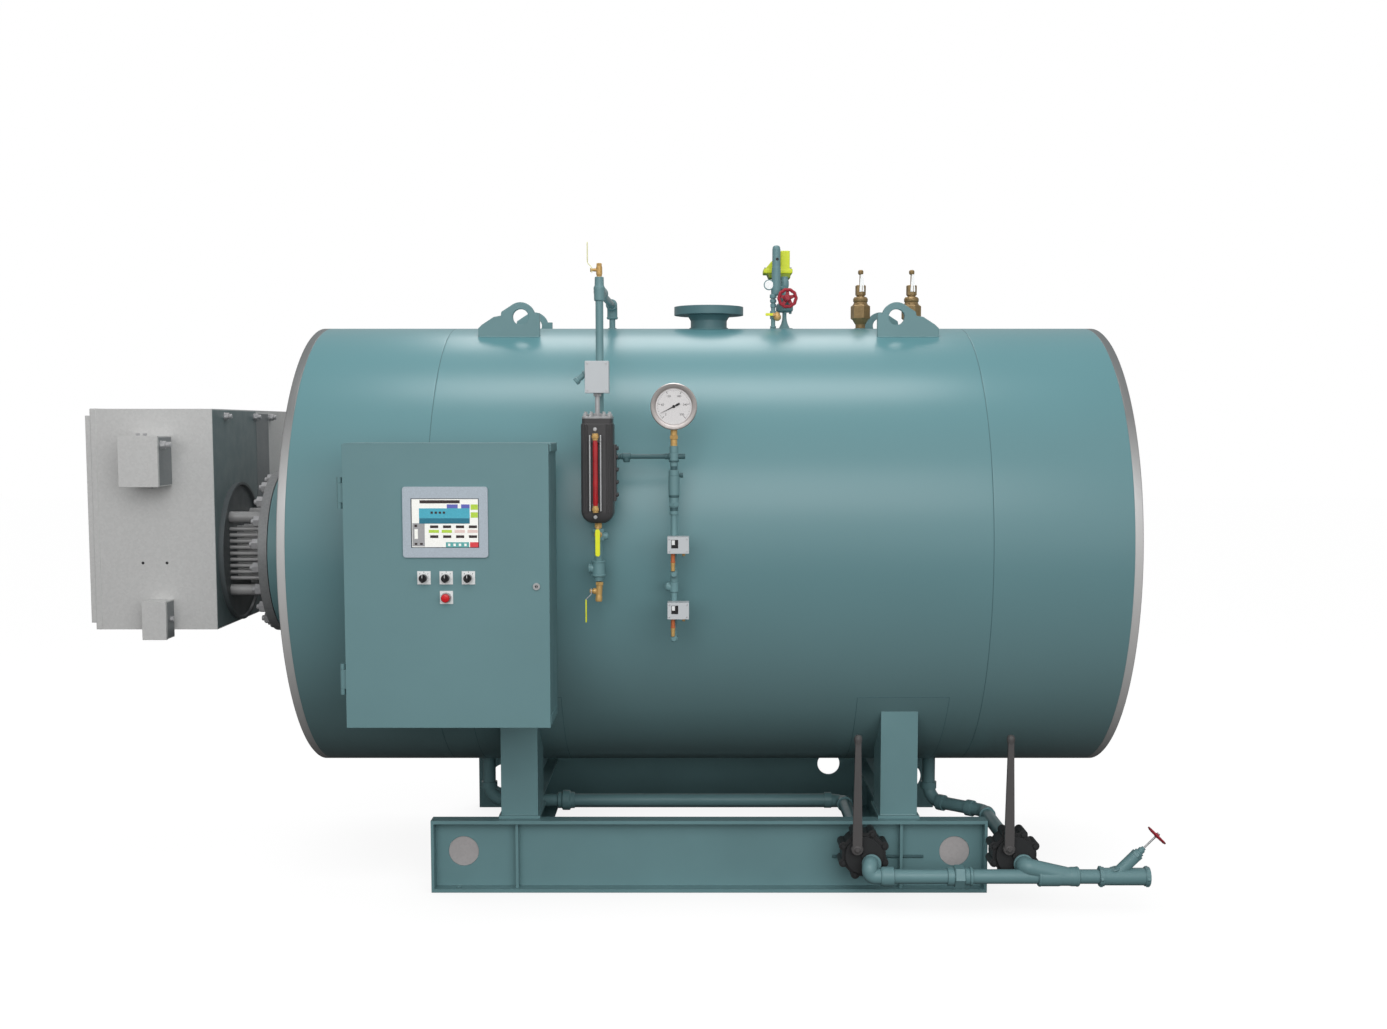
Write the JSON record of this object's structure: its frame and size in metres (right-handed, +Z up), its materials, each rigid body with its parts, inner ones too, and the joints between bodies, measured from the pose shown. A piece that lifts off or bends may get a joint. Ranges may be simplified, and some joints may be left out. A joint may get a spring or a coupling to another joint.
{
  "type": "horizontal electric steam boiler on a channel skid",
  "caption": "Lagged horizontal vessel on a channel skid, with a flanged electric heater and terminal box at one end, a control cabinet, water column, gauge, steam outlet and blowdown line",
  "frame": {"origin": "on the floor, in the middle of the skid's four anchor holes, below the vessel's middle", "axes": "+X along the vessel away from the heater end, -Y the operator's side, +Z up"},
  "size_m": [3.7259, 1.915, 2.252],
  "materials": {
    "teal_paint": "semi-gloss blue-green paint",
    "teal_jacket": "satin blue-green sheet jacket",
    "bright_band": "bright satin metal",
    "bare_steel": "bare satin steel",
    "raw_steel": "mill finish steel",
    "grey_flange": "grey machined and painted steel",
    "standoff_steel": "dull steel",
    "gasket": "dark flat gasket",
    "galvanised": "galvanised sheet",
    "grey_paint": "light grey paint",
    "panel_grey": "light grey bezel",
    "black_plastic": "matt black",
    "light_plastic": "light legend plates",
    "red_plastic": "gloss red",
    "black_paint": "black paint",
    "red_glass": "red gauge glass",
    "brass": "plain brass",
    "yellow_paint": "bright yellow sleeve",
    "gauge_case": "grey case with a white dial",
    "actuator_green": "yellow-green enamel",
    "red_paint": "red enamel",
    "valve_iron": "black painted cast iron"
  },
  "bodies": {
    "boiler": {"skid_rail_front": "teal_paint", "skid_rail_rear": "teal_paint", "lifting_covers": "bare_steel", "cross_members": "teal_paint", "saddles": "teal_paint", "vessel_shell": "raw_steel", "lagging_left": "teal_jacket", "lagging_middle": "teal_jacket", "lagging_right": "teal_jacket", "end_bands": "bright_band", "head_left": "teal_jacket", "head_right": "teal_jacket", "lifting_lugs": "teal_paint", "heater_nozzle": "teal_paint", "heater_gasket": "gasket", "heater_flange": "grey_flange", "heater_standoffs": "standoff_steel", "terminal_box": "galvanised", "terminal_box_lid": "galvanised", "junction_boxes": "galvanised", "cabinet": "teal_paint", "mounting_plate": "galvanised", "cabinet_brackets": "teal_paint", "water_column": "black_paint", "gauge_glass_frame": "bare_steel", "gauge_glass": "red_glass", "column_switch_box": "grey_paint", "column_piping": "teal_paint", "drain_piping": "teal_paint", "column_cocks": "brass", "gauge_manifold": "teal_paint", "pressure_gauge": "gauge_case", "pressure_switches": "grey_paint", "steam_outlet": "teal_paint", "safety_valves": "brass", "safety_levers": "bright_band", "feed_valve": "teal_paint", "feed_actuator": "actuator_green", "drop_pipes": "teal_paint", "blowdown_valves": "valve_iron", "blowdown_line": "teal_paint", "y_valve": "teal_paint"},
    "door": {"cabinet_door": "teal_paint", "touch_panel": "panel_grey", "switch_plates": "light_plastic", "door_fittings": "bright_band"},
    "selector_1": {"selector_1": "black_plastic"},
    "selector_2": {"selector_2": "black_plastic"},
    "selector_3": {"selector_3": "black_plastic"},
    "stop_button": {"stop_button": "red_plastic"},
    "vent_lever": {"vent_lever": "yellow_paint"},
    "isolation_lever": {"isolation_lever": "yellow_paint"},
    "drain_lever": {"drain_lever": "yellow_paint"},
    "feed_handwheel": {"feed_handwheel": "red_paint"},
    "feed_cock_lever": {"feed_cock_lever": "yellow_paint"},
    "blowdown_lever_left": {"blowdown_lever_left": "black_paint"},
    "blowdown_lever_right": {"blowdown_lever_right": "black_paint"},
    "y_handwheel": {"y_handwheel": "red_paint"}
  },
  "joints": [
    {"name": "door_hinge", "type": "hinge", "parent": "boiler", "child": "door", "pos_m": [-1.1455, -1.053, 1.095], "axis": [0, 0, -1], "range_deg": [0, 120]},
    {"name": "selector_1_turn", "type": "hinge", "parent": "door", "child": "selector_1", "pos_m": [-0.8845, -1.085, 1.124], "axis": [0, -1, 0], "range_deg": [-45, 45]},
    {"name": "selector_2_turn", "type": "hinge", "parent": "door", "child": "selector_2", "pos_m": [-0.816, -1.085, 1.124], "axis": [0, -1, 0], "range_deg": [-45, 45]},
    {"name": "selector_3_turn", "type": "hinge", "parent": "door", "child": "selector_3", "pos_m": [-0.7475, -1.085, 1.124], "axis": [0, -1, 0], "range_deg": [-45, 45]},
    {"name": "stop_push", "type": "slide", "parent": "door", "child": "stop_button", "axis": [0, 1, 0], "range_m": [0, 0.005], "stiffness_N_per_m": 400},
    {"name": "vent_lever_turn", "type": "hinge", "parent": "boiler", "child": "vent_lever", "pos_m": [-0.379, -0.848, 2.084], "axis": [1, 0, 0], "range_deg": [0, 90]},
    {"name": "isolation_lever_turn", "type": "hinge", "parent": "boiler", "child": "isolation_lever", "pos_m": [-0.358, -0.911, 1.245], "axis": [0, 1, 0], "range_deg": [0, 90]},
    {"name": "drain_lever_turn", "type": "hinge", "parent": "boiler", "child": "drain_lever", "pos_m": [-0.384, -0.88, 1.0625], "axis": [-1, 0, 0], "range_deg": [0, 90]},
    {"name": "feed_handwheel_turn", "type": "hinge", "parent": "boiler", "child": "feed_handwheel", "pos_m": [0.29, -0.086, 2.057], "axis": [0, -1, 0], "range_deg": [0, 360]},
    {"name": "feed_cock_lever_turn", "type": "hinge", "parent": "boiler", "child": "feed_cock_lever", "pos_m": [0.24, -0.0675, 1.999], "axis": [0, 1, 0], "range_deg": [0, 90]},
    {"name": "blowdown_lever_left_turn", "type": "hinge", "parent": "boiler", "child": "blowdown_lever_left", "pos_m": [0.492, -0.76, 0.186], "axis": [0, 1, 0], "range_deg": [0, 90]},
    {"name": "blowdown_lever_right_turn", "type": "hinge", "parent": "boiler", "child": "blowdown_lever_right", "pos_m": [0.998, -0.76, 0.186], "axis": [0, 1, 0], "range_deg": [0, 90]},
    {"name": "y_handwheel_turn", "type": "hinge", "parent": "boiler", "child": "y_handwheel", "pos_m": [1.47859, -0.8, 0.24159], "axis": [0.7071, 0, 0.7071], "range_deg": [0, 360]}
  ]
}
